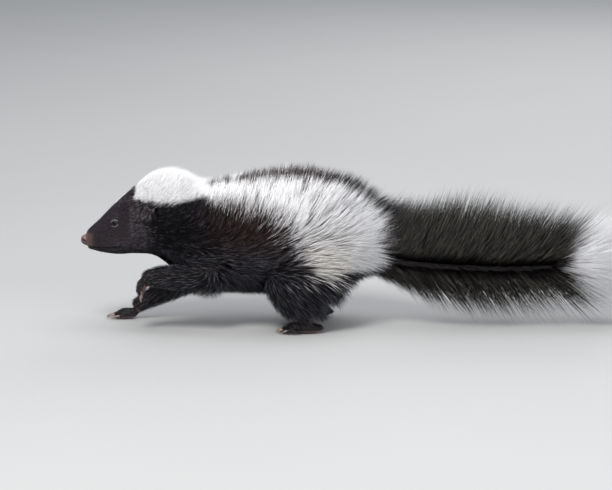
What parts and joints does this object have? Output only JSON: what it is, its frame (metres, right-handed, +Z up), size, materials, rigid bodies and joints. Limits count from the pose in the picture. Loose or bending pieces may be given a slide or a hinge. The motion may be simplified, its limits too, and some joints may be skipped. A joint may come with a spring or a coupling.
{
  "type": "striped skunk",
  "caption": "Still, life-size young striped skunk in mid stride, one fore paw raised, long plumed tail held low behind it.",
  "frame": {"origin": "on the ground, under the middle of the box round the whole animal", "axes": "+Z up, the animal faces -X, its left side faces -Y"},
  "size_m": [0.4204, 0.0922, 0.1209],
  "materials": {
    "dark_coat": "brownish-black fur",
    "white_coat": "white fur with dark roots",
    "bare_skin": "bare pinkish-brown skin",
    "eye": "wet glossy black"
  },
  "bodies": {
    "root": {"head": "dark_coat", "lower_jaw": "dark_coat", "nose": "bare_skin", "crown": "white_coat", "nape": "white_coat", "neck": "dark_coat", "torso": "dark_coat", "eye_left": "eye", "ear_left": "dark_coat", "stripe_left": "white_coat", "eye_right": "eye", "ear_right": "dark_coat", "stripe_right": "white_coat", "fore_leg_left": "dark_coat", "fore_paw_left": "bare_skin", "fore_leg_right": "dark_coat", "fore_paw_right": "bare_skin", "hind_leg_left": "dark_coat", "hind_foot_left": "bare_skin", "hind_leg_right": "dark_coat", "hind_foot_right": "bare_skin", "tail": "dark_coat", "tail_tip": "white_coat"}
  },
  "joints": []
}
